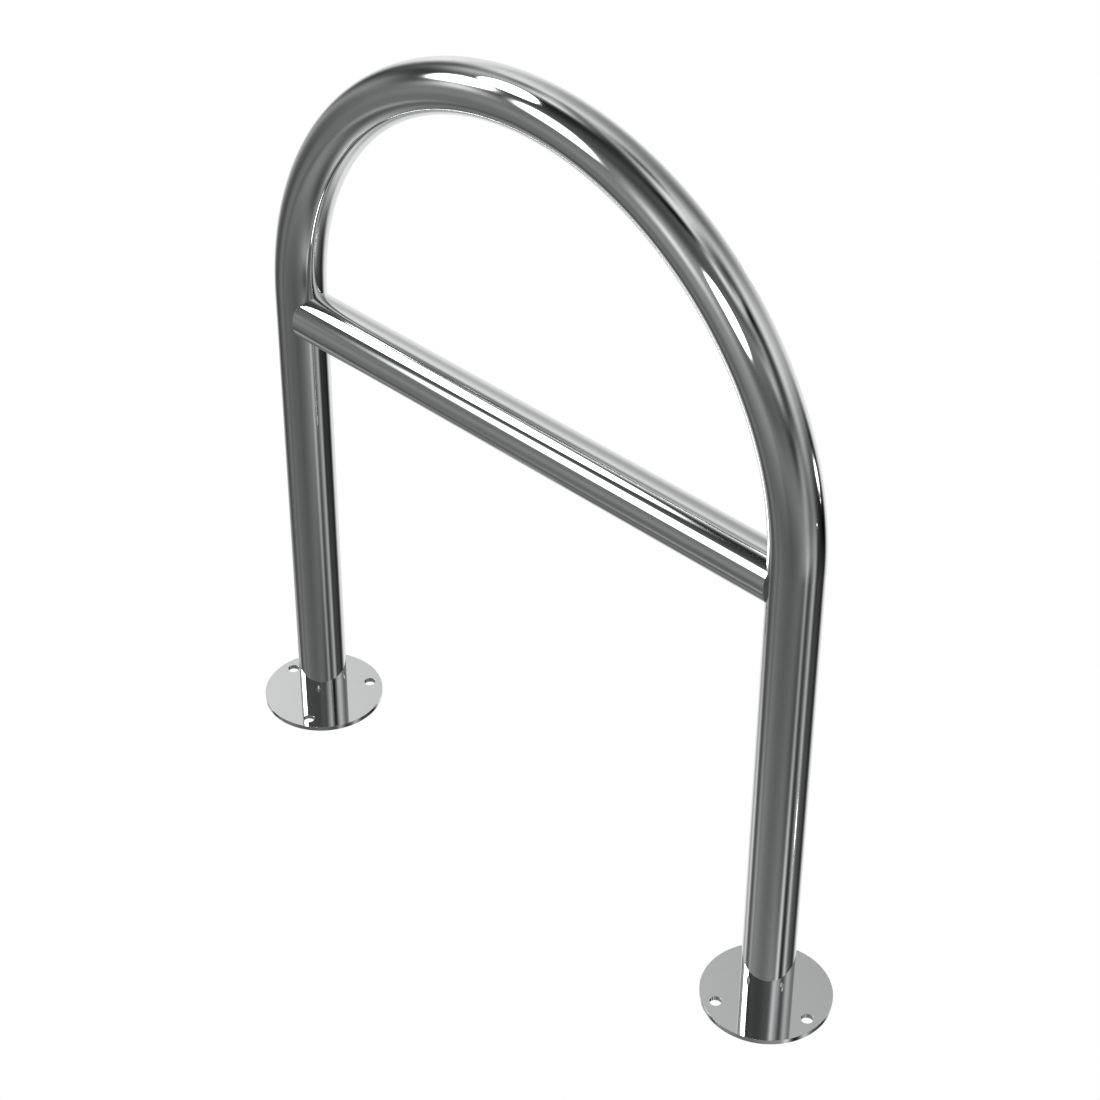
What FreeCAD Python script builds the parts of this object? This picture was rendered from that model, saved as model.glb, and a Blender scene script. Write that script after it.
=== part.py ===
import FreeCAD, Part
import math
import os
import Sketcher

V = FreeCAD.Vector
SC = Sketcher.Constraint

doc = FreeCAD.newDocument("hoop_bike_rack")

# ---------------------------------------------------------------------------
# Driving dimensions, millimetres.
# Frame: X runs along the rack from the left leg to the right leg, Y across it,
# Z up. The origin is midway between the legs on the ground surface.
# ---------------------------------------------------------------------------
dims = doc.addObject("Spreadsheet::Sheet", "dims")
ROWS = [
    ("leg_centres", 635.0, "distance between the axes of the two legs"),
    ("tube_dia", 50.8, "outside diameter of hoop and crossbar tube"),
    ("tube_wall", 2.0, "wall of both tubes"),
    ("bend_start", 508.0, "height where the legs run into the half-circle bend"),
    ("bar_height", 489.0, "height of the crossbar axis"),
    ("foot_gap", 1.0, "tube foot stands this far above the plate underside"),
    ("plate_dia", 127.0, "base plate diameter"),
    ("plate_thick", 5.0, "base plate thickness"),
    ("plate_round", 0.1, "rounded upper rim of the plate"),
    ("plate_break", 0.1, "broken lower rim of the plate"),
    ("anchor_pcd", 101.6, "circle through the anchor hole centres"),
    ("anchor_dia", 12.0, "anchor hole diameter, clears an M10 anchor"),
    ("anchor_break", 0.1, "broken upper edge of the anchor holes"),
    ("anchor_count", 3, "anchor holes in each plate"),
    ("prep_leg", 3.0, "weld preparation under the plate, leg of the 45 degree bevel"),
    ("root_gap", 4.0, "gap between crossbar end and leg, filled with weld"),
    ("weld_depth", 5.0, "depth of that weld, inwards from the crossbar's outside"),
    ("tip_width", 604.8, "across the crossbar welds, whose tips are cut square"),
    ("vent_dia", 8.0, "vent in the leg wall inside each crossbar joint"),
]
for n, (alias, value, note) in enumerate(ROWS, start=1):
    dims.set("A%d" % n, note)
    dims.set("B%d" % n, repr(value))
    dims.setAlias("B%d" % n, alias)
doc.recompute()


def size(alias):
    return float(dims.get(alias))


def origin_plane(body, role):
    for feature in body.Origin.OriginFeatures:
        if feature.Role == role:
            return feature
    raise RuntimeError("no plane " + role)


def sketch(body, name, role):
    sk = body.newObject("Sketcher::SketchObject", name)
    sk.AttachmentSupport = [(origin_plane(body, role), "")]
    sk.MapMode = "FlatFace"
    return sk


def bind(sk, constraint, name, expression):
    """Adds one dimension to a sketch, names it and ties it to the sheet."""
    index = sk.addConstraint(constraint)
    sk.renameConstraint(index, name)
    sk.setExpression("Constraints." + name, expression)
    return index


def circle_on_axis(sk, radius, name, expression):
    geo = sk.addGeometry(Part.Circle(V(0, 0, 0), V(0, 0, 1), radius), False)
    sk.addConstraint(SC("Coincident", geo, 3, -1, 1))
    bind(sk, SC("Diameter", geo, 2 * radius), name, expression)
    return geo


def hoop_centreline(body, name, foot, foot_expression):
    """Centreline of the bent tube: leg, half circle, leg."""
    half = size("leg_centres") / 2
    start = size("bend_start")
    sk = sketch(body, name, "XZ_Plane")
    leg_a = sk.addGeometry(Part.LineSegment(V(-half, foot, 0), V(-half, start, 0)), False)
    bend = sk.addGeometry(
        Part.ArcOfCircle(Part.Circle(V(0, start, 0), V(0, 0, 1), half), 0, math.pi), False)
    leg_b = sk.addGeometry(Part.LineSegment(V(half, start, 0), V(half, foot, 0)), False)
    sk.addConstraint(SC("Tangent", leg_a, 2, bend, 2))
    sk.addConstraint(SC("Tangent", bend, 1, leg_b, 1))
    sk.addConstraint(SC("Vertical", leg_a))
    sk.addConstraint(SC("Vertical", leg_b))
    sk.addConstraint(SC("PointOnObject", bend, 3, -2))
    bind(sk, SC("DistanceY", -1, 1, bend, 3, start), "bend_start", "dims.bend_start")
    bind(sk, SC("Radius", bend, half), "bend_radius", "dims.leg_centres / 2")
    bind(sk, SC("DistanceY", -1, 1, leg_a, 1, foot), "foot_a", foot_expression)
    bind(sk, SC("DistanceY", -1, 1, leg_b, 2, foot), "foot_b", foot_expression)
    return sk


def leg_section(body, name, radii, foot_expression):
    """Circles across the foot of the left leg; radii is (radius, name, expression)."""
    sk = sketch(body, name, "XY_Plane")
    sk.setExpression("AttachmentOffset.Base.x", "-dims.leg_centres / 2")
    sk.setExpression("AttachmentOffset.Base.z", foot_expression)
    for radius, label, expression in radii:
        circle_on_axis(sk, radius, label, expression)
    return sk


def new_body(label):
    body = doc.addObject("PartDesign::Body", label)
    body.Label = label
    return body


R = size("tube_dia") / 2
WALL = size("tube_wall")
HALF = size("leg_centres") / 2
GAP = size("root_gap")
BAR = size("bar_height")
pieces = []
volumes = {}

# ---------------------------------------------------------------------------
# Hoop: one tube, two straight legs and a half-circle top, drawn round its
# centreline. A vent in each leg wall opens the crossbar's inside to the hoop's.
# ---------------------------------------------------------------------------
hoop = new_body("hoop_tube")
pieces.append(hoop)
path = hoop_centreline(hoop, "hoop_path", size("foot_gap"), "dims.foot_gap")
section = leg_section(hoop, "hoop_section", [
    (R, "outside", "dims.tube_dia"),
    (R - WALL, "inside", "dims.tube_dia - 2 * dims.tube_wall"),
], "dims.foot_gap")
doc.recompute()
bent = hoop.newObject("PartDesign::AdditivePipe", "bent_tube")
bent.Profile = section
bent.Spine = path
doc.recompute()
volumes["hoop before vents"] = bent.Shape.Volume
vent_sk = sketch(hoop, "vent_circle", "YZ_Plane")
vent = vent_sk.addGeometry(
    Part.Circle(V(0, BAR, 0), V(0, 0, 1), size("vent_dia") / 2), False)
vent_sk.addConstraint(SC("PointOnObject", vent, 3, -2))
bind(vent_sk, SC("DistanceY", -1, 1, vent, 3, BAR), "vent_height", "dims.bar_height")
bind(vent_sk, SC("Diameter", vent, size("vent_dia")), "vent_size", "dims.vent_dia")
doc.recompute()
vents = hoop.newObject("PartDesign::Pocket", "vents")
vents.Profile = vent_sk
vents.SideType = "Symmetric"
vents.Type = "Length"
vents.setExpression("Length", "dims.leg_centres")
doc.recompute()
volumes["hoop"] = hoop.Shape.Volume

# ---------------------------------------------------------------------------
# Crossbar: straight tube between the legs. Each end is coped to the leg, held
# back from it all round by the root gap that the weld fills.
# ---------------------------------------------------------------------------


def bar_section(body, name, depth, depth_expression):
    """Ring across the crossbar, from its outside inwards by the depth."""
    sk = sketch(body, name, "YZ_Plane")
    for radius, label, expression in (
            (R, "outside", "dims.tube_dia"),
            (R - depth, "inside", "dims.tube_dia - 2 * " + depth_expression)):
        geo = sk.addGeometry(Part.Circle(V(0, BAR, 0), V(0, 0, 1), radius), False)
        sk.addConstraint(SC("PointOnObject", geo, 3, -2))
        bind(sk, SC("DistanceY", -1, 1, geo, 3, BAR), label + "_height", "dims.bar_height")
        bind(sk, SC("Diameter", geo, 2 * radius), label, expression)
    return sk


bar = new_body("crossbar_tube")
pieces.append(bar)
bar_sk = bar_section(bar, "bar_section", WALL, "dims.tube_wall")
doc.recompute()
bar_pad = bar.newObject("PartDesign::Pad", "bar_length")
bar_pad.Profile = bar_sk
bar_pad.SideType = "Symmetric"
bar_pad.setExpression("Length", "dims.leg_centres")
doc.recompute()
volumes["bar before cope"] = bar.Shape.Volume
cope_path = hoop_centreline(bar, "cope_path", 0.0, "0")
cope_sk = leg_section(bar, "cope_section", [
    (R + GAP, "cope_size", "dims.tube_dia + 2 * dims.root_gap")], "0")
doc.recompute()
cope = bar.newObject("PartDesign::SubtractivePipe", "coped_ends")
cope.Profile = cope_sk
cope.Spine = cope_path
doc.recompute()
volumes["bar"] = bar.Shape.Volume

# ---------------------------------------------------------------------------
# Crossbar welds: the ring between the coped end and the leg, as wide as the
# root gap and dressed flush with the bar's outside. The tips that would run out
# to nothing along the leg's sides are cut square.
# ---------------------------------------------------------------------------


def crossbar_weld(label, side):
    body = new_body(label)
    sk = bar_section(body, label + "_section", size("weld_depth"), "dims.weld_depth")
    sk.setExpression("AttachmentOffset.Base.z", "%d * dims.tip_width / 2" % side)
    doc.recompute()
    pad = body.newObject("PartDesign::Pad", label + "_ring")
    pad.Profile = sk
    pad.Reversed = side > 0
    pad.setExpression("Length", "dims.tube_dia / 2")
    doc.recompute()
    # keep what lies within the root gap of the hoop's surface
    keep_path = hoop_centreline(body, label + "_leg_path", 0.0, "0")
    outer = leg_section(body, label + "_beyond_gap", [
        (R + GAP, "gap_size", "dims.tube_dia + 2 * dims.root_gap"),
        (2.5 * R, "clear_size", "2.5 * dims.tube_dia")], "0")
    doc.recompute()
    trim = body.newObject("PartDesign::SubtractivePipe", label + "_trim")
    trim.Profile = outer
    trim.Spine = keep_path
    doc.recompute()
    saddle_path = hoop_centreline(body, label + "_saddle_path", 0.0, "0")
    saddle_sk = leg_section(body, label + "_saddle_section", [
        (R, "saddle_size", "dims.tube_dia")], "0")
    doc.recompute()
    saddle = body.newObject("PartDesign::SubtractivePipe", label + "_saddle")
    saddle.Profile = saddle_sk
    saddle.Spine = saddle_path
    doc.recompute()
    volumes[label] = body.Shape.Volume
    return body


pieces.append(crossbar_weld("left_crossbar_weld", -1))
pieces.append(crossbar_weld("right_crossbar_weld", 1))

# ---------------------------------------------------------------------------
# Base plates: round plate, bored for the tube, bevelled underneath for the
# weld, three anchor holes. The right plate is the left one turned half a turn.
# ---------------------------------------------------------------------------


def base_plate(label, side):
    body = new_body(label)
    disc_sk = sketch(body, label + "_disc", "XY_Plane")
    circle_on_axis(disc_sk, size("plate_dia") / 2, "rim", "dims.plate_dia")
    circle_on_axis(disc_sk, R, "bore", "dims.tube_dia")
    doc.recompute()
    disc = body.newObject("PartDesign::Pad", label + "_thickness")
    disc.Profile = disc_sk
    disc.setExpression("Length", "dims.plate_thick")
    doc.recompute()
    v0 = body.Shape.Volume
    # weld preparation: 45 degree bevel at the foot of the bore
    bevel_sk = sketch(body, label + "_bevel_section", "XZ_Plane")
    leg = size("prep_leg")
    a = bevel_sk.addGeometry(Part.LineSegment(V(R, 0, 0), V(R + leg, 0, 0)), False)
    b = bevel_sk.addGeometry(Part.LineSegment(V(R + leg, 0, 0), V(R, leg, 0)), False)
    c = bevel_sk.addGeometry(Part.LineSegment(V(R, leg, 0), V(R, 0, 0)), False)
    for first, second in ((a, b), (b, c), (c, a)):
        bevel_sk.addConstraint(SC("Coincident", first, 2, second, 1))
    bevel_sk.addConstraint(SC("Horizontal", a))
    bevel_sk.addConstraint(SC("Vertical", c))
    bevel_sk.addConstraint(SC("PointOnObject", a, 1, -1))
    bind(bevel_sk, SC("DistanceX", -1, 1, a, 1, R), "bore_radius", "dims.tube_dia / 2")
    bind(bevel_sk, SC("DistanceX", a, 1, a, 2, leg), "bevel_width", "dims.prep_leg")
    bind(bevel_sk, SC("DistanceY", c, 2, c, 1, leg), "bevel_height", "dims.prep_leg")
    doc.recompute()
    bevel = body.newObject("PartDesign::Groove", label + "_bevel")
    bevel.Profile = bevel_sk
    bevel.ReferenceAxis = (bevel_sk, ["V_Axis"])
    bevel.Angle = 360
    doc.recompute()
    v1 = body.Shape.Volume
    # anchor holes: the first points away from the other leg
    hole_sk = sketch(body, label + "_anchor_circle", "XY_Plane")
    pcr = size("anchor_pcd") / 2
    hole = hole_sk.addGeometry(
        Part.Circle(V(pcr, 0, 0), V(0, 0, 1), size("anchor_dia") / 2), False)
    hole_sk.addConstraint(SC("PointOnObject", hole, 3, -1))
    bind(hole_sk, SC("DistanceX", -1, 1, hole, 3, pcr), "anchor_radius", "dims.anchor_pcd / 2")
    bind(hole_sk, SC("Diameter", hole, size("anchor_dia")), "anchor_size", "dims.anchor_dia")
    doc.recompute()
    anchor = body.newObject("PartDesign::Pocket", label + "_anchor")
    anchor.Profile = hole_sk
    anchor.Reversed = True
    anchor.Type = "Length"
    anchor.setExpression("Length", "dims.plate_thick")
    doc.recompute()
    v2 = body.Shape.Volume
    ring = body.newObject("PartDesign::PolarPattern", label + "_anchors")
    ring.Originals = [anchor]
    ring.Axis = (hole_sk, ["N_Axis"])
    ring.Angle = 360
    ring.setExpression("Occurrences", "dims.anchor_count")
    body.Tip = ring
    doc.recompute()
    v3 = body.Shape.Volume
    # rounded upper rim
    top = size("plate_thick")

    def circular_edges(shape, radius, height):
        found = []
        for i, edge in enumerate(shape.Edges, start=1):
            if edge.Curve.TypeId == "Part::GeomCircle" \
                    and abs(edge.Curve.Radius - radius) < 1e-6 \
                    and abs(edge.Curve.Center.z - height) < 1e-6:
                found.append("Edge%d" % i)
        return found

    rim_top = circular_edges(ring.Shape, size("plate_dia") / 2, top)
    round_rim = body.newObject("PartDesign::Fillet", label + "_upper_rim")
    round_rim.Base = (ring, rim_top)
    round_rim.setExpression("Radius", "dims.plate_round")
    doc.recompute()
    rim_low = circular_edges(round_rim.Shape, size("plate_dia") / 2, 0.0)
    low = body.newObject("PartDesign::Chamfer", label + "_lower_rim")
    low.Base = (round_rim, rim_low)
    low.setExpression("Size", "dims.plate_break")
    doc.recompute()
    hole_top = circular_edges(low.Shape, size("anchor_dia") / 2, top)
    broken = body.newObject("PartDesign::Chamfer", label + "_hole_edges")
    broken.Base = (low, hole_top)
    broken.setExpression("Size", "dims.anchor_break")
    doc.recompute()
    body.setExpression("Placement.Base.x", "%d * dims.leg_centres / 2" % side)
    if side < 0:
        body.setExpression("Placement.Rotation.Angle", "180 deg")
    doc.recompute()
    volumes[label] = (v0, v1, v2, v3, body.Shape.Volume,
                      len(rim_top), len(rim_low), len(hole_top))
    return body


# ---------------------------------------------------------------------------
# Base welds: ring under each plate. It fills the bevel, runs under the tube's
# cut end and is dressed flush with the underside.
# ---------------------------------------------------------------------------


def base_weld(label, side):
    body = new_body(label)
    sk = sketch(body, label + "_section", "XZ_Plane")
    leg = size("prep_leg")
    foot = size("foot_gap")
    pts = [V(R - WALL, 0, 0), V(R + leg, 0, 0), V(R, leg, 0), V(R, foot, 0), V(R - WALL, foot, 0)]
    geo = [sk.addGeometry(Part.LineSegment(pts[i], pts[(i + 1) % 5]), False) for i in range(5)]
    for i in range(5):
        sk.addConstraint(SC("Coincident", geo[i], 2, geo[(i + 1) % 5], 1))
    sk.addConstraint(SC("Horizontal", geo[0]))
    sk.addConstraint(SC("Vertical", geo[2]))
    sk.addConstraint(SC("Horizontal", geo[3]))
    sk.addConstraint(SC("Vertical", geo[4]))
    sk.addConstraint(SC("PointOnObject", geo[0], 1, -1))
    bind(sk, SC("DistanceX", -1, 1, geo[0], 1, R - WALL), "tube_inside",
         "dims.tube_dia / 2 - dims.tube_wall")
    bind(sk, SC("DistanceX", -1, 1, geo[1], 2, R), "tube_outside", "dims.tube_dia / 2")
    bind(sk, SC("DistanceX", -1, 1, geo[0], 2, R + leg), "weld_outside",
         "dims.tube_dia / 2 + dims.prep_leg")
    bind(sk, SC("DistanceY", -1, 1, geo[1], 2, leg), "weld_height", "dims.prep_leg")
    bind(sk, SC("DistanceY", -1, 1, geo[3], 2, foot), "foot_height", "dims.foot_gap")
    doc.recompute()
    ring = body.newObject("PartDesign::Revolution", label + "_ring")
    ring.Profile = sk
    ring.ReferenceAxis = (sk, ["V_Axis"])
    ring.Angle = 360
    doc.recompute()
    body.setExpression("Placement.Base.x", "%d * dims.leg_centres / 2" % side)
    doc.recompute()
    volumes[label] = body.Shape.Volume
    return body


pieces.append(base_plate("left_base_plate", -1))
pieces.append(base_plate("right_base_plate", 1))
pieces.append(base_weld("left_base_weld", -1))
pieces.append(base_weld("right_base_weld", 1))

# ---------------------------------------------------------------------------
# Checks, then one file per piece.
# ---------------------------------------------------------------------------
doc.recompute()
for obj in doc.Objects:
    for flag in ("Invalid", "Error"):
        if flag in obj.State:
            raise RuntimeError("%s is %s" % (obj.Name, obj.State))
for key, value in volumes.items():
    print(key, value)
for piece in pieces:
    shape = piece.Shape
    if shape.isNull() or not shape.isValid() or len(shape.Solids) != 1:
        raise RuntimeError("bad shape in " + piece.Label)

os.makedirs("parts", exist_ok=True)
for piece in pieces:
    shape = piece.Shape
    box = shape.optimalBoundingBox()
    print("%-22s %10.1f mm3  %6.1f %6.1f %6.1f .. %6.1f %6.1f %6.1f  faces %d" % (
        piece.Label, shape.Volume, box.XMin, box.YMin, box.ZMin,
        box.XMax, box.YMax, box.ZMax, len(shape.Faces)))
    shape.exportStep(os.path.join("parts", piece.Label + ".step"))
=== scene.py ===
import math

import bpy
import numpy as np
from mathutils import Matrix, Vector
from mathutils.geometry import tessellate_polygon


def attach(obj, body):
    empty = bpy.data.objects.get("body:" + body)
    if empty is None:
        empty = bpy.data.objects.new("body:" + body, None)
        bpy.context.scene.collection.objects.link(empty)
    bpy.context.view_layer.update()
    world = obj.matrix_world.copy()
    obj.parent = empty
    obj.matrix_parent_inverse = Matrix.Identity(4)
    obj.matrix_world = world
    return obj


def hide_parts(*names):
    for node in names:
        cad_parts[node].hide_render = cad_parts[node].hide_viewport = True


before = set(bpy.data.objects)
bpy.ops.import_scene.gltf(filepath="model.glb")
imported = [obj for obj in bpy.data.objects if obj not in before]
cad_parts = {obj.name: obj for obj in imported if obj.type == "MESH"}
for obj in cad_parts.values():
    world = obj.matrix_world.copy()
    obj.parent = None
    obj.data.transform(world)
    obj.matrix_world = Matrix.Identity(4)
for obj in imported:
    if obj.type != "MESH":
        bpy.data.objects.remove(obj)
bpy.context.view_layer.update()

# ---------------------------------------------------------------------------
# Real sizes, metres. X along the rack, Y across it, Z up, origin on the ground.
# ---------------------------------------------------------------------------
R = 0.0254            # outside radius of hoop and crossbar tube
WALL = 0.002
HALF = 0.3175         # half the distance between the legs, and the bend radius
BEND = 0.508          # height where the half circle starts
FOOT = 0.001          # tube foot above the plate underside
BAR = 0.489           # height of the crossbar axis
GAP = 0.004           # root gap that the crossbar weld fills
DEEP = 0.005          # depth of that weld, inwards from the outside of the bar
TIP = 0.3024          # the weld's tips at the sides of the bar are cut square here
VENT = 0.004          # vent radius in the leg wall, inside the crossbar joint
PLATE_R = 0.0635
PLATE_T = 0.005
RIM_ROUND = 0.0001
RIM_BREAK = 0.0001
HOLE_R = 0.006
HOLE_BREAK = 0.0001
HOLE_PC = 0.0508
PREP = 0.003
AROUND = 144          # facets round a tube


# ---------------------------------------------------------------------------
# Mesh helpers: every face knows its exact normals, so mirror-finish metal
# reflects as the true surface does.
# ---------------------------------------------------------------------------
class Mesh:
    def __init__(self):
        self.co, self.faces, self.normals = [], [], []
        self.track = []           # per vertex: position on the unrolled surface
        self.zone = []            # per vertex: 0 plain, 1 at a weld

    def add(self, points, track=None, zone=0.0):
        start = len(self.co)
        self.co.extend(tuple(p) for p in points)
        self.track.extend(tuple(t) for t in (track if track is not None else points))
        self.zone.extend([zone] * len(points) if np.isscalar(zone) else list(zone))
        return list(range(start, len(self.co)))

    def face(self, ids, normals):
        self.faces.append(list(ids))
        self.normals.append(list(normals))

    def quad_strip(self, ring_a, ring_b, na, nb):
        """Quads between two closed rings of the same length; na, nb are the normals at their points."""
        n = len(ring_a)
        na, nb = np.asarray(na, float).tolist(), np.asarray(nb, float).tolist()
        for i in range(n):
            j = (i + 1) % n
            self.face([ring_a[i], ring_a[j], ring_b[j], ring_b[i]], [na[i], na[j], nb[j], nb[i]])

    def build(self, name):
        # points that coincide become one, so each piece is a closed skin
        co = np.array(self.co)
        _, first, place = np.unique(np.round(co * 1e7).astype(np.int64), axis=0, return_index=True, return_inverse=True)
        place = place.ravel()
        co = co[first]
        faces, normals = [], []
        for ids, nn in zip(self.faces, self.normals):
            ids = [int(v) for v in place[ids]]
            keep = [k for k in range(len(ids)) if ids[k] != ids[k - 1]]
            if len(keep) > 2:
                faces.append([ids[k] for k in keep])
                normals.append([nn[k] for k in keep])
        self.faces, self.normals = faces, normals
        # a face winds the way its normals say
        ends = np.array([(f[0], f[1], f[2], f[-1]) for f in self.faces])
        a, b, c, e = (co[ends[:, k]] for k in range(4))
        flat = np.array([n for nn in self.normals for n in nn])
        start = np.r_[0, np.cumsum([len(f) for f in self.faces])[:-1]]
        facing = (np.cross(c - a, e - b) * np.add.reduceat(flat, start)).sum(1)
        for k in np.flatnonzero(facing < 0):
            self.faces[k], self.normals[k] = self.faces[k][::-1], self.normals[k][::-1]
        me = bpy.data.meshes.new(name)
        me.from_pydata(co.tolist(), [], self.faces)
        me.update()
        me.polygons.foreach_set("use_smooth", [True] * len(me.polygons))
        track = me.attributes.new("surface_track", "FLOAT_VECTOR", "POINT")
        track.data.foreach_set("vector", np.array(self.track, np.float32)[first].ravel())
        zone = me.attributes.new("weld_zone", "FLOAT", "POINT")
        zone.data.foreach_set("value", np.array(self.zone, np.float32)[first])
        flat = [n for face in self.normals for n in face]
        me.normals_split_custom_set(flat)
        me.update()
        ob = bpy.data.objects.new(name, me)
        bpy.context.scene.collection.objects.link(ob)
        return ob


def unit(v):
    v = np.asarray(v, float)
    return v / np.linalg.norm(v, axis=-1, keepdims=True)


# ---------------------------------------------------------------------------
# Hoop: the bent tube, outer skin, bore, both feet and the hidden vents.
# ---------------------------------------------------------------------------
ANG = np.arange(AROUND) * 2 * math.pi / AROUND       # angle 0 faces away from the hoop's centre


def hoop_stations():
    """(centre, outward direction in the hoop's plane, length along the tube) from left foot to right foot."""
    leg = [FOOT, 0.004, 0.008]
    leg += list(np.arange(0.020, 0.400, 0.020))
    leg += list(np.arange(0.404, 0.478, 0.008))
    leg += list(np.arange(0.480, 0.499, 0.002))
    leg += [0.5015, 0.5048]
    out, s = [], 0.0
    for z in leg:
        out.append((np.array([-HALF, 0, z]), np.array([-1.0, 0, 0]), z))
    n = 240
    for i in range(n + 1):
        a = math.pi - math.pi * i / n
        c = np.array([HALF * math.cos(a), 0, BEND + HALF * math.sin(a)])
        out.append((c, np.array([math.cos(a), 0, math.sin(a)]), BEND + math.pi * HALF * i / n))
    total = 2 * BEND + math.pi * HALF
    for z in leg[::-1]:
        out.append((np.array([HALF, 0, z]), np.array([1.0, 0, 0]), total - z))
    return out, len(leg)


def tube_ring(centre, out, radius):
    nrm = np.cos(ANG)[:, None] * out + np.sin(ANG)[:, None] * np.array([0, 1.0, 0])
    return centre + radius * nrm, nrm


def build_hoop():
    m = Mesh()
    stations, n_leg = hoop_stations()
    z_of = [st[0][2] for st in stations]
    skins = []
    for radius, inward in ((R, False), (R - WALL, True)):
        rings, norms = [], []
        for centre, out, s in stations:
            pts, nrm = tube_ring(centre, out, radius)
            track = np.c_[R * np.cos(ANG), R * np.sin(ANG), np.full(AROUND, s)]
            zone = np.exp(-((z_of[len(rings)] - BAR) / 0.030) ** 2) if abs(centre[0]) > 0.3 else 0.0
            rings.append(m.add(pts, track, zone))
            norms.append((-nrm if inward else nrm).tolist())
        skins.append((rings, norms, inward))
    # a block of facets on the inner side of each leg is opened for the vent
    half = 8
    lo_i = AROUND // 2 - half
    hi_i = AROUND // 2 + half
    blocks = []
    for leg_range in (range(0, n_leg), range(len(stations) - n_leg, len(stations))):
        inside = [k for k in leg_range if abs(z_of[k] - BAR) <= 0.0085]
        blocks.append((min(inside), max(inside)))
    for rings, norms, inward in skins:
        for k in range(len(rings) - 1):
            block = next((b for b in blocks if b[0] <= k < b[1]), None)
            for i in range(AROUND):
                if block and lo_i <= i < hi_i:
                    continue
                j = (i + 1) % AROUND
                m.face([rings[k][i], rings[k][j], rings[k + 1][j], rings[k + 1][i]],
                       [norms[k][i], norms[k][j], norms[k + 1][j], norms[k + 1][i]])
    # vents: the block's border drawn in to a circle on each skin, and the bore between them
    for b, side in ((blocks[0], -1), (blocks[1], 1)):
        order = [(b[0], i) for i in range(lo_i, hi_i)] + [(k, hi_i) for k in range(b[0], b[1])]
        order += [(b[1], i) for i in range(hi_i, lo_i, -1)] + [(k, lo_i) for k in range(b[1], b[0], -1)]
        circles = []
        for rings, norms, inward in skins:
            border = [rings[k][i] for k, i in order]
            pts = np.array([m.co[v] for v in border])
            ang = np.arctan2(pts[:, 2] - BAR, pts[:, 1])
            rad = R - WALL if inward else R
            y, z = VENT * np.cos(ang), BAR + VENT * np.sin(ang)
            x = side * (HALF - np.sqrt(rad ** 2 - y ** 2))
            ring = m.add(np.c_[x, y, z], zone=1.0)
            n_ring = unit(np.c_[x - side * HALF, y, 0 * y]) * (-1 if inward else 1)
            n_border = unit(np.c_[pts[:, 0] - side * HALF, pts[:, 1], 0 * y]) * (-1 if inward else 1)
            m.quad_strip(border, ring, n_border, n_ring)
            circles.append((ring, y, z))
        (ra, y, z), (rb, _, _) = circles
        n_bore = -unit(np.c_[0 * y, y, z - BAR])
        m.quad_strip(ra, rb, n_bore, n_bore)
    # feet: the cut end of the wall
    down = [(0, 0, -1.0)] * AROUND
    for k in (0, len(stations) - 1):
        m.quad_strip(skins[0][0][k], skins[1][0][k], down, down)
    return m.build("hoop_tube_polished")


# ---------------------------------------------------------------------------
# Crossbar and its welds. An end of the bar follows the hoop's surface, a root
# gap off it; the weld fills from there to the hoop, and its two tips at the
# sides of the bar are cut square.
# ---------------------------------------------------------------------------


def reach(y, z, radius):
    """How far out from the middle the surface of that radius about the hoop's centreline lies, at (y, z)."""
    w = np.sqrt(np.maximum(radius ** 2 - y ** 2, 0.0))
    dz = np.maximum(z - BEND, 0.0)
    return np.sqrt((HALF - w) ** 2 - dz ** 2)


def saddle_normal(x, y, z, radius):
    """Outward normal of that surface round the hoop's centreline."""
    dz = np.maximum(z - BEND, 0.0)
    rho = np.hypot(x, dz)
    c = np.c_[x / rho * HALF, 0 * y, np.where(z > BEND, BEND + dz / rho * HALF, z)]
    return unit(np.c_[x, y, z] - c)


def bar_ring(radius, x):
    y, z = radius * np.cos(ANG), BAR + radius * np.sin(ANG)
    return np.c_[x, y, z], y, z


def build_crossbar():
    m = Mesh()
    radial = np.c_[0 * ANG, np.cos(ANG), np.sin(ANG)]
    ends = {}
    for radius, inward in ((R, False), (R - WALL, True)):
        _, y, z = bar_ring(radius, 0 * ANG)
        xe = reach(y, z, R + GAP)
        rings = []
        steps = np.r_[-1.0, -0.975, np.linspace(-0.94, 0.94, 49), 0.975, 1.0]
        for t in steps:
            pts = np.c_[t * xe, y, z]
            zone = np.exp(-((xe - np.abs(pts[:, 0])) / 0.022) ** 2)
            rings.append(m.add(pts, np.c_[R * np.cos(ANG), R * np.sin(ANG), pts[:, 0]], zone))
        nn = -radial if inward else radial
        for a, b in zip(rings[:-1], rings[1:]):
            m.quad_strip(a, b, nn, nn)
        ends[inward] = (rings[0], rings[-1], xe, y, z)
    for side, k in ((-1, 0), (1, 1)):
        outer, inner = ends[False], ends[True]
        na = -saddle_normal(side * outer[2], outer[3], outer[4], R + GAP)
        nb = -saddle_normal(side * inner[2], inner[3], inner[4], R + GAP)
        m.quad_strip(outer[k], inner[k], na, nb)
    return m.build("crossbar_tube_polished")


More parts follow.
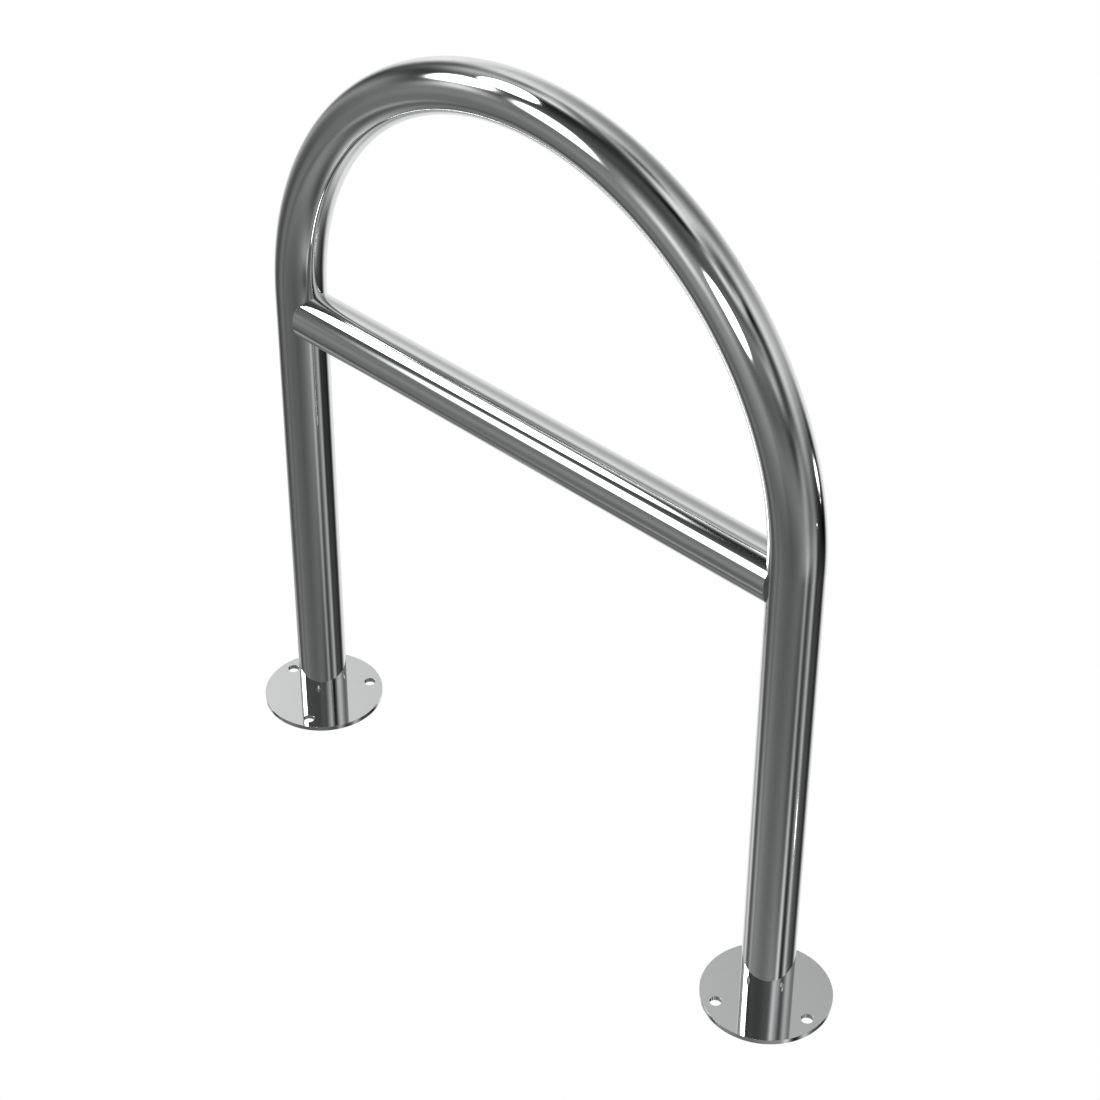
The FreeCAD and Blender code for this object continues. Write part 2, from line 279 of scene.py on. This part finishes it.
def build_bar_weld(name, side):
    """Ring of weld between the bar's end and the hoop, dressed flush with the bar."""
    m = Mesh()
    crease = math.sqrt(R ** 2 - (HALF - TIP) ** 2)        # |y| where the hoop's surface meets the square cut
    brim = math.sqrt((R + GAP) ** 2 - (HALF - TIP) ** 2)  # |y| where the bar's coped end meets it
    extra = []
    for lip in (math.acos(crease / R), math.acos(brim / R)):
        extra += [lip, math.pi - lip, math.pi + lip, 2 * math.pi - lip]
    ang = np.sort(np.r_[ANG, extra])
    radial = np.c_[0 * ang, np.cos(ang), np.sin(ang)]
    side_on = np.maximum(np.abs(np.cos(ang)), 1e-6)
    split = np.clip(crease / side_on, R - DEEP, R)        # the square cut runs from this radius
    brow = np.clip(brim / side_on, R - DEEP, R)           # out to this one, at each angle

    def ring(radius, root):
        y, z = radius * np.cos(ang), BAR + radius * np.sin(ang)
        x = np.minimum(reach(y, z, R + GAP if root else R), TIP)
        pts = np.c_[side * x, y, z]
        track = np.c_[R * np.cos(ang), R * np.sin(ang), side * x]
        return m.add(pts, track, 1.0), pts

    def contact(pts, radius):
        return saddle_normal(pts[:, 0], pts[:, 1], pts[:, 2], radius)

    inner = np.full(len(ang), R - DEEP)
    outer_root, outer_far = ring(brow, True), ring(brow, False)
    inner_root, inner_far = ring(inner, True), ring(inner, False)
    fold = ring(split, False)
    m.quad_strip(outer_root[0], outer_far[0], radial, radial)
    m.quad_strip(inner_root[0], inner_far[0], -radial, -radial)
    m.quad_strip(outer_root[0], inner_root[0], contact(outer_root[1], R + GAP), contact(inner_root[1], R + GAP))
    m.quad_strip(fold[0], inner_far[0], -contact(fold[1], R), -contact(inner_far[1], R))
    # the square-cut tips: only where the crease runs inside the wall
    flat = [side * 1.0, 0.0, 0.0]
    n = len(ang)
    for i in range(n):
        j = (i + 1) % n
        a, b, c, e = outer_far[0][i], outer_far[0][j], fold[0][j], fold[0][i]
        open_i, open_j = split[i] < brow[i] - 1e-7, split[j] < brow[j] - 1e-7
        if open_i and open_j:
            m.face([a, b, c, e], [flat] * 4)
        elif open_i:
            m.face([a, b, e], [flat] * 3)
        elif open_j:
            m.face([a, b, c], [flat] * 3)
    return m.build(name)


# ---------------------------------------------------------------------------
# Base plates: bored, bevelled underneath, rounded rim, three broken-edged
# anchor holes. The left plate is the right one turned half a turn.
# ---------------------------------------------------------------------------


def circle(cx, cy, r, n):
    a = np.arange(n) * 2 * math.pi / n
    return np.c_[cx + r * np.cos(a), cy + r * np.sin(a)], np.c_[np.cos(a), np.sin(a)]


def build_plate(name, side):
    m = Mesh()
    cx = side * HALF

    def ring(x0, y0, r, z, n):
        pts, _ = circle(x0, y0, r, n)
        p3 = np.c_[pts, np.full(n, z)]
        return m.add(p3, np.c_[p3[:, 0] - cx, p3[:, 1], p3[:, 2]], 0.0)

    def wall(x0, y0, profile, n):
        """Surface of revolution about (x0, y0): profile is (r, z, normal_r, normal_z) from top to bottom."""
        _, dirs = circle(0, 0, 1, n)
        rings = []
        for k, (r, z, _, _) in enumerate(profile):
            if k and (r, z) == profile[k - 1][:2]:
                rings.append(rings[-1])
            else:
                rings.append(ring(x0, y0, r, z, n))
        for k in range(len(profile) - 1):
            if rings[k] is rings[k + 1]:
                continue
            na = np.c_[dirs * profile[k][2], np.full(n, profile[k][3])]
            nb = np.c_[dirs * profile[k + 1][2], np.full(n, profile[k + 1][3])]
            m.quad_strip(rings[k], rings[k + 1], na, nb)
        return rings[0], rings[-1]

    top, n_rim, n_bore, n_hole = PLATE_T, 258, AROUND, 72
    profile = []
    for k in range(9):
        a = math.pi / 2 * (1 - k / 8)
        profile.append((PLATE_R - RIM_ROUND + RIM_ROUND * math.cos(a), top - RIM_ROUND + RIM_ROUND * math.sin(a),
                        math.cos(a), math.sin(a)))
    profile.append((PLATE_R, RIM_BREAK, 1.0, 0.0))
    c45 = math.sqrt(0.5)
    profile.append((PLATE_R, RIM_BREAK, c45, -c45))
    profile.append((PLATE_R - RIM_BREAK, 0.0, c45, -c45))
    rim_top, rim_low = wall(cx, 0, profile, n_rim)
    bore = [(R, top, -1.0, 0.0), (R, PREP, -1.0, 0.0), (R, PREP, -c45, -c45), (R + PREP, 0.0, -c45, -c45)]
    bore_top, bore_low = wall(cx, 0, bore, n_bore)
    holes_top, holes_low = [], []
    for k in range(3):
        a = 2 * math.pi * k / 3 + (0 if side > 0 else math.pi)
        hx, hy = cx + HOLE_PC * math.cos(a), HOLE_PC * math.sin(a)
        hole = [(HOLE_R + HOLE_BREAK, top, -c45, c45), (HOLE_R, top - HOLE_BREAK, -c45, c45),
                (HOLE_R, top - HOLE_BREAK, -1.0, 0.0), (HOLE_R, 0.0, -1.0, 0.0)]
        a_top, a_low = wall(hx, hy, hole, n_hole)
        holes_top.append(a_top)
        holes_low.append(a_low)
    for rings, nz in (([rim_top, bore_top] + holes_top, 1.0), ([rim_low, bore_low] + holes_low, -1.0)):
        loops = [[Vector(m.co[v]) for v in r] for r in rings]
        ids = [v for r in rings for v in r]
        for tri in tessellate_polygon(loops):
            m.face([ids[i] for i in tri], [(0, 0, nz)] * 3)
    return m.build(name)


hoop = build_hoop()
crossbar = build_crossbar()
left_plate = build_plate("left_base_plate_polished", -1)
right_plate = build_plate("right_base_plate_polished", 1)
left_weld = build_bar_weld("left_crossbar_weld_dressed", -1)
right_weld = build_bar_weld("right_crossbar_weld_dressed", 1)

for piece, node, slot in (
        (hoop, "hoop_tube", "polished_stainless"),
        (crossbar, "crossbar_tube", "polished_stainless"),
        (left_plate, "left_base_plate", "polished_stainless"),
        (right_plate, "right_base_plate", "polished_stainless"),
        (left_weld, "left_crossbar_weld", "polished_weld"),
        (right_weld, "right_crossbar_weld", "polished_weld")):
    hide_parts(node)
    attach(piece, "root")

# ---------------------------------------------------------------------------
# Materials
# ---------------------------------------------------------------------------
STEEL = (0.745, 0.757, 0.768)


class Tree:
    """Short names for building a node tree."""

    def __init__(self, tree):
        self.tree = tree
        self.tree.nodes.clear()

    def node(self, kind, **settings):
        n = self.tree.nodes.new(kind)
        for key, value in settings.items():
            setattr(n, key, value)
        return n

    def link(self, a, b):
        self.tree.links.new(a, b)

    def put(self, socket, value):
        if isinstance(value, bpy.types.NodeSocket):
            self.link(value, socket)
        else:
            socket.default_value = value

    def math(self, op, a, b=None, c=None, clamp=False):
        n = self.node("ShaderNodeMath", operation=op, use_clamp=clamp)
        self.put(n.inputs[0], a)
        if b is not None:
            self.put(n.inputs[1], b)
        if c is not None:
            self.put(n.inputs[2], c)
        return n.outputs[0]

    def vec(self, op, a, b=None, scale=None):
        n = self.node("ShaderNodeVectorMath", operation=op)
        self.put(n.inputs[0], a)
        if b is not None:
            self.put(n.inputs[1], b)
        if scale is not None:
            self.put(n.inputs["Scale"], scale)
        return n.outputs["Value"] if op in ("DOT_PRODUCT", "LENGTH") else n.outputs["Vector"]

    def noise(self, vector, scale, detail=2.0, rough=0.5):
        n = self.node("ShaderNodeTexNoise")
        self.put(n.inputs["Vector"], vector)
        n.inputs["Scale"].default_value = scale
        n.inputs["Detail"].default_value = detail
        n.inputs["Roughness"].default_value = rough
        return n.outputs["Fac"]

    def remap(self, value, a, b, c, d, kind="SMOOTHSTEP"):
        n = self.node("ShaderNodeMapRange", interpolation_type=kind)
        self.put(n.inputs["Value"], value)
        for key, v in (("From Min", a), ("From Max", b), ("To Min", c), ("To Max", d)):
            n.inputs[key].default_value = v
        return n.outputs["Result"]


def stretched(t, coords, factors):
    """Coordinates squeezed along the grain, so that round noise cells become long marks."""
    return t.vec("MULTIPLY", coords, factors)


def polished(name, grain, swirl, at_weld=0.0):
    """Mirror-polished stainless steel. grain is the squeeze of the coordinates along the buffing marks, swirl that of
    the older, coarser belt marks under them; at_weld says how far the dressed joint shows."""
    mat = bpy.data.materials.new(name)
    mat.use_nodes = True
    t = Tree(mat.node_tree)
    out = t.node("ShaderNodeOutputMaterial")
    bsdf = t.node("ShaderNodeBsdfPrincipled")
    bsdf.inputs["Metallic"].default_value = 1.0
    track = t.node("ShaderNodeAttribute", attribute_name="surface_track").outputs["Vector"]
    zone = t.node("ShaderNodeAttribute", attribute_name="weld_zone").outputs["Fac"]

    # buffing lines 0.15 to 0.4 mm apart, belt marks about 1.5 mm apart, hand smears of 2 to 6 cm, specks of dust
    buff = t.noise(stretched(t, track, grain), 3600.0, 3.0, 0.62)
    belt = t.noise(stretched(t, track, swirl), 640.0, 2.0, 0.5)
    smear = t.noise(track, 24.0, 4.0, 0.55)
    film = t.noise(stretched(t, track, (1.0, 1.0, 0.35)), 110.0, 3.0, 0.6)
    lines = t.remap(buff, 0.36, 0.70, 0.0, 1.0)
    marks = t.remap(belt, 0.42, 0.72, 0.0, 1.0)
    touched = t.remap(smear, 0.50, 0.72, 0.0, 1.0)
    cloud = t.remap(film, 0.35, 0.70, 0.0, 1.0)
    dust = t.node("ShaderNodeTexVoronoi", feature="F1")
    t.put(dust.inputs["Vector"], track)
    dust.inputs["Scale"].default_value = 85.0
    dust.inputs["Randomness"].default_value = 1.0
    keep = t.node("ShaderNodeSeparateColor")
    t.put(keep.inputs[0], dust.outputs["Color"])
    spot = t.math("MULTIPLY", t.remap(dust.outputs["Distance"], 0.012, 0.03, 1.0, 0.0),
                  t.remap(keep.outputs["Red"], 0.86, 0.88, 0.0, 1.0))

    # gloss
    rough = t.math("MULTIPLY_ADD", lines, 0.010, 0.030)
    rough = t.math("MULTIPLY_ADD", marks, 0.008, rough)
    rough = t.math("MULTIPLY_ADD", t.math("MULTIPLY", touched, cloud), 0.030, rough)
    rough = t.math("MULTIPLY_ADD", spot, 0.10, rough)
    rough = t.math("MULTIPLY_ADD", zone, 0.012, rough)
    t.put(bsdf.inputs["Roughness"], rough)

    # colour: the steel itself, a breath of film where hands have been, a trace of straw colour by the weld
    shade = t.math("MULTIPLY_ADD", touched, -0.006, 1.004)
    shade = t.math("MULTIPLY_ADD", marks, -0.005, shade)
    shade = t.math("MULTIPLY_ADD", spot, -0.03, shade)
    warm = t.math("MULTIPLY", t.math("MULTIPLY", zone, cloud), 0.012)
    rgb = t.node("ShaderNodeCombineColor")
    t.put(rgb.inputs["Red"], t.math("MULTIPLY", shade, STEEL[0]))
    t.put(rgb.inputs["Green"], t.math("MULTIPLY", shade, STEEL[1]))
    t.put(rgb.inputs["Blue"], t.math("MULTIPLY", t.math("SUBTRACT", shade, warm), STEEL[2]))
    t.put(bsdf.inputs["Base Color"], rgb.outputs[0])

    # relief, all of it under a micrometre: long soft waves left by rolling and by dressing the weld, then the lines
    wave = t.noise(stretched(t, track, (1.0, 1.0, 0.5)), 150.0, 1.0, 0.4)
    swell = t.math("MULTIPLY_ADD", zone, at_weld, 1.0)
    height = t.math("MULTIPLY", wave, swell)
    bump = t.node("ShaderNodeBump")
    bump.inputs["Strength"].default_value = 1.0
    bump.inputs["Distance"].default_value = 1.6e-6
    t.put(bump.inputs["Height"], height)
    fine = t.node("ShaderNodeBump")
    fine.inputs["Strength"].default_value = 1.0
    fine.inputs["Distance"].default_value = 1.5e-7
    t.put(fine.inputs["Height"], t.math("MULTIPLY_ADD", marks, 1.4, lines))
    t.put(fine.inputs["Normal"], bump.outputs["Normal"])
    t.put(bsdf.inputs["Normal"], fine.outputs["Normal"])
    t.link(bsdf.outputs[0], out.inputs[0])
    return mat


def ground(name):
    """Underside weld, ground back with a disc: crossing scratches, dull, a little heat colour left."""
    mat = bpy.data.materials.new(name)
    mat.use_nodes = True
    t = Tree(mat.node_tree)
    out = t.node("ShaderNodeOutputMaterial")
    bsdf = t.node("ShaderNodeBsdfPrincipled")
    bsdf.inputs["Metallic"].default_value = 1.0
    place = t.node("ShaderNodeTexCoord").outputs["Object"]
    turned = t.node("ShaderNodeVectorRotate", rotation_type="Z_AXIS")
    t.put(turned.inputs["Vector"], place)
    turned.inputs["Angle"].default_value = 0.62
    one = t.noise(stretched(t, place, (1.0, 0.06, 1.0)), 2600.0, 3.0, 0.6)
    two = t.noise(stretched(t, turned.outputs["Vector"], (0.06, 1.0, 1.0)), 1900.0, 3.0, 0.6)
    cut = t.math("MAXIMUM", t.remap(one, 0.42, 0.70, 0.0, 1.0), t.remap(two, 0.46, 0.72, 0.0, 1.0))
    patch = t.remap(t.noise(place, 170.0, 3.0, 0.6), 0.40, 0.66, 0.0, 1.0)
    t.put(bsdf.inputs["Roughness"], t.math("MULTIPLY_ADD", cut, 0.12, t.math("MULTIPLY_ADD", patch, 0.07, 0.24)))
    shade = t.math("MULTIPLY_ADD", cut, -0.10, 0.96)
    rgb = t.node("ShaderNodeCombineColor")
    t.put(rgb.inputs["Red"], t.math("MULTIPLY", shade, 0.62))
    t.put(rgb.inputs["Green"], t.math("MULTIPLY", t.math("MULTIPLY_ADD", patch, -0.02, shade), 0.61))
    t.put(rgb.inputs["Blue"], t.math("MULTIPLY", t.math("MULTIPLY_ADD", patch, -0.05, shade), 0.59))
    t.put(bsdf.inputs["Base Color"], rgb.outputs[0])
    bump = t.node("ShaderNodeBump")
    bump.inputs["Strength"].default_value = 1.0
    bump.inputs["Distance"].default_value = 1.5e-5
    t.put(bump.inputs["Height"], t.math("MULTIPLY_ADD", patch, 0.8, cut))
    t.put(bsdf.inputs["Normal"], bump.outputs["Normal"])
    t.link(bsdf.outputs[0], out.inputs[0])
    return mat


# along a tube the third track coordinate is the length; on a plate the buffing runs across it
tube_steel = polished("polished_stainless_tube", (1.0, 1.0, 0.03), (0.04, 0.04, 1.0), 2.5)
weld_steel = polished("polished_stainless_weld", (1.0, 1.0, 0.12), (0.10, 0.10, 1.0), 2.5)
plate_steel = polished("polished_stainless_plate", (0.03, 1.0, 1.0), (0.55, 0.08, 1.0))
ground_steel = ground("ground_stainless_weld")
for ob, steel in ((hoop, tube_steel), (crossbar, tube_steel), (left_weld, weld_steel), (right_weld, weld_steel),
                  (left_plate, plate_steel), (right_plate, plate_steel)):
    ob.data.materials.append(steel)
for node in ("left_base_weld", "right_base_weld"):
    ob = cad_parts[node]
    for k in range(len(ob.material_slots)):
        ob.material_slots[k].material = ground_steel

# ---------------------------------------------------------------------------
# Camera: solved from the outlines of hoop, crossbar and plates.
# ---------------------------------------------------------------------------
cam_data = bpy.data.cameras.new("camera")
cam = bpy.data.objects.new("camera", cam_data)
bpy.context.scene.collection.objects.link(cam)
F_PX, PP = 2628.37, (0.0, -72.58)
ROTVEC = (2.047810351, 0.843545814, -0.433762707)
EYE = (1.408677, -1.408558, 1.837146)
angle = math.sqrt(sum(v * v for v in ROTVEC))
rows = Matrix.Rotation(angle, 3, Vector(ROTVEC) / angle)     # world to camera: right, down, forward
right, down_, ahead = rows[0], rows[1], rows[2]
cam.matrix_world = Matrix((
    (right[0], -down_[0], -ahead[0], EYE[0]),
    (right[1], -down_[1], -ahead[1], EYE[1]),
    (right[2], -down_[2], -ahead[2], EYE[2]),
    (0, 0, 0, 1)))
cam_data.sensor_width = 36.0
cam_data.sensor_fit = "HORIZONTAL"
cam_data.lens = F_PX / 1100 * 36.0
cam_data.shift_x = -PP[0] / 1100
cam_data.shift_y = PP[1] / 1100
cam_data.clip_start, cam_data.clip_end = 0.05, 200.0
cam_data.dof.use_dof = False
bpy.context.scene.camera = cam

# ---------------------------------------------------------------------------
# Studio light: a dim tent with broad washes of light (and shade, where the
# level is negative) and a few round softboxes far brighter than white. All are
# far away and set by direction: azimuth and elevation in degrees, turn about
# that direction, half-width and half-height in degrees, level.
# The washes' levels are display values and are turned into light at the end.
# A softbox has, in place of the level, how sharply its light ends and how
# square its corners are (2 is an ellipse).
# ---------------------------------------------------------------------------
AMBIENT = (0.52, -0.116, 0.357, -0.107)
WASHES = (
    (78.2, -57.2, 18.5, 18.32, 65.05, 1.078),
    (294.4, 89.5, 172.6, 75, 15.48, -1.036),
    (32.8, 73.6, 153.3, 9.69, 16.63, 1.458),
    (56.9, -38.7, 33.3, 18.56, 35.04, -1.5),
    (8.8, 24.8, 80.2, 33.67, 20.89, 1.359),
    (13.7, 43.3, 170.7, 10.88, 75, -1.306),
    (276.6, 6.7, 174.3, 40.89, 14.78, 1.354),
    (172.1, 6, 49.3, 16.01, 7.94, -0.553),
    (97.9, 37.9, 68.1, 60.87, 18.09, -1),
    (159.5, 77.6, 19.8, 18.49, 67.66, 1.017),
    (163.2, -73.2, 152.2, 11.98, 40.82, -0.514),
    (204.7, 11, 70.5, 10.86, 74.97, 0.977),
    (5.3, -48.1, 128.4, 6.51, 11.53, -1.458),
    (12.9, -44.7, 31.7, 20.58, 10.85, 1.321),
    (350.9, -39.5, 13.3, 13.55, 4.77, -0.591),
    (350.3, -45, 0.1, 4.33, 10.62, 0.485),
    (187.9, 62.6, 152.5, 4.61, 8.97, 0.638),
    (191.2, -41.7, 29.4, 8.05, 5.5, 0.562),
    (195, -37.3, 145.7, 7.74, 4.18, -0.34),
    (256.9, -69.3, 157.4, 75, 8.75, -0.399),
    (65, -26.7, 3.3, 7.78, 13.73, -1.5),
    (62.6, -31.5, 172.9, 7.49, 11.45, 1.209),
    (32.6, -35, 3.5, 5.47, 8.97, -0.486),
    (219.5, 6.3, 35.1, 5.02, 6.18, 0.632),
    (196.7, 15.6, 163.1, 47.58, 9.38, -1.03),
    (338.7, 33.4, 2.6, 8.83, 16.87, -1.5),
    (338.5, 22.4, 136.9, 12.11, 7.1, 0.686),
    (333.3, 61.5, 141.8, 11.32, 5.45, -0.649),
    (339.2, 49.2, 179, 7.12, 16.59, 1.205),
    (250.7, 7.4, 170.3, 15.73, 8.35, 1.5),
    (263.2, 5.7, 178.7, 57.84, 11.33, -1.383),
    (160.8, 57.3, 9.7, 3.59, 7.53, -0.601),
    (162.6, 58.1, 170.6, 3.49, 5.47, 0.569),
    (165.1, 29.5, 172.3, 6.16, 25.42, -0.475),
    (352.6, 9.5, 53.4, 15.18, 7.45, -0.616),
    (72.7, 76.1, 3.7, 9.46, 5.61, -0.611),
    (102.7, 43.2, 157.9, 14.16, 75, 0.677),
    (8.6, 40.7, 176.2, 8.54, 3.92, 1.475),
    (9.3, 40, 179.6, 7.63, 3.6, -1.5),
    (224, -44.9, 172.9, 5.63, 3.46, 0.204),
    (231.1, -44.7, 166.3, 4.01, 12.03, -0.095),
    (245.1, 11.3, 53.9, 7.51, 12.52, -1.081),
    (124.6, -67.3, 178.2, 75, 4.96, -0.157),
    (156.2, -46.3, 1, 8.07, 75, 0.192),
)
SOFTBOXES = (
    (205.29, 42.23, 152.4, 11.92, 9.55, 41.2, 2.24),
    (209.52, 21.33, 144.3, 9.98, 8.78, 14.5, 2.18),
    (238, 20.48, 11.4, 8.5, 10.43, 13.4, 2.41),
    (296.66, 21.66, 33.9, 12.22, 9.44, 25, 2.03),
    (57.18, -15.23, 156.7, 5.1, 2.59, 6.3, 2.04),
)
# end of the light list
BOX_LIGHT = 6.0       # a softbox's own light; 1.3 is the least that a polished surface shows as white


def axes(az, el, turn):
    a, e, p = (math.radians(v) for v in (az, el, turn))
    n = np.array([math.cos(e) * math.cos(a), math.cos(e) * math.sin(a), math.sin(e)])
    u0 = np.array([-math.sin(a), math.cos(a), 0.0])
    v0 = np.cross(n, u0)
    return n, math.cos(p) * u0 + math.sin(p) * v0, -math.sin(p) * u0 + math.cos(p) * v0


def build_world():
    world = bpy.data.worlds.new("studio_light")
    bpy.context.scene.world = world
    world.use_nodes = True
    t = Tree(world.node_tree)
    out = t.node("ShaderNodeOutputWorld")
    bg = t.node("ShaderNodeBackground")
    d = t.vec("NORMALIZE", t.node("ShaderNodeTexCoord").outputs["Generated"])
    level = t.vec("DOT_PRODUCT", d, AMBIENT[1:])
    level = t.math("ADD", level, AMBIENT[0])
    for az, el, turn, wide, high, amount in WASHES:
        n, u, v = axes(az, el, turn)
        a = t.vec("DOT_PRODUCT", d, tuple(u / (math.sqrt(2) * math.sin(math.radians(wide)))))
        b = t.vec("DOT_PRODUCT", d, tuple(v / (math.sqrt(2) * math.sin(math.radians(high)))))
        c = t.vec("DOT_PRODUCT", d, tuple(n * amount))
        c = t.math("MAXIMUM" if amount > 0 else "MINIMUM", c, 0.0)
        fall = t.math("MULTIPLY_ADD", b, b, t.math("MULTIPLY", a, a))
        level = t.math("MULTIPLY_ADD", t.math("POWER", math.exp(-1), fall), c, level)
    level = t.math("MINIMUM", t.math("MAXIMUM", level, 0.02), 1.0)
    # display value to light, and the slight green of the studio's shade
    light = t.math("DIVIDE", t.math("POWER", t.math("DIVIDE", t.math("ADD", level, 0.055), 1.055), 2.4), 0.757)
    for az, el, turn, wide, high, sharp, corner in SOFTBOXES:
        n, u, v = axes(az, el, turn)
        front = t.math("MAXIMUM", t.vec("DOT_PRODUCT", d, tuple(n)), 0.05)
        a = t.math("ABSOLUTE", t.vec("DOT_PRODUCT", d, tuple(u / math.tan(math.radians(wide)))))
        b = t.math("ABSOLUTE", t.vec("DOT_PRODUCT", d, tuple(v / math.tan(math.radians(high)))))
        r = t.math("ADD", t.math("POWER", a, corner), t.math("POWER", b, corner))
        r = t.math("MINIMUM", t.math("DIVIDE", t.math("POWER", r, 1 / corner), front), 60.0)
        lit = t.math("DIVIDE", BOX_LIGHT, t.math("ADD", t.math("POWER", r, sharp), 1.0))
        light = t.math("ADD", light, lit)
    tint = t.node("ShaderNodeCombineColor")
    t.put(tint.inputs["Red"], t.remap(level, 0.0, 1.0, 0.935, 0.994, "LINEAR"))
    tint.inputs["Green"].default_value = 1.0
    t.put(tint.inputs["Blue"], t.remap(level, 0.0, 1.0, 0.946, 0.976, "LINEAR"))
    t.put(bg.inputs["Color"], tint.outputs[0])
    t.put(bg.inputs["Strength"], light)
    pale = t.node("ShaderNodeBackground")
    pale.inputs["Color"].default_value = (1, 1, 1, 1)
    mix = t.node("ShaderNodeMixShader")
    t.put(mix.inputs[0], t.node("ShaderNodeLightPath").outputs["Is Camera Ray"])
    t.link(bg.outputs[0], mix.inputs[1])
    t.link(pale.outputs[0], mix.inputs[2])
    t.link(mix.outputs[0], out.inputs[0])


build_world()

# ---------------------------------------------------------------------------
# Floor
# ---------------------------------------------------------------------------
s = 30.0
me = bpy.data.meshes.new("floor")
me.from_pydata([(-s, -s, 0), (s, -s, 0), (s, s, 0), (-s, s, 0)], [], [(0, 1, 2, 3)])
floor = bpy.data.objects.new("floor", me)
bpy.context.scene.collection.objects.link(floor)
floor.visible_glossy = False
mat = bpy.data.materials.new("pale_floor")
mat.use_nodes = True
t = Tree(mat.node_tree)
out = t.node("ShaderNodeOutputMaterial")
emit = t.node("ShaderNodeEmission")
emit.inputs["Color"].default_value = (1, 1, 1, 1)
emit.inputs["Strength"].default_value = 1.0
t.link(emit.outputs[0], out.inputs[0])
me.materials.append(mat)

scene = bpy.context.scene
scene.view_settings.view_transform = "Standard"
scene.view_settings.look = "None"
scene.cycles.max_bounces = 16          # light runs along the inside of the bend in many small reflections
scene.cycles.glossy_bounces = 12
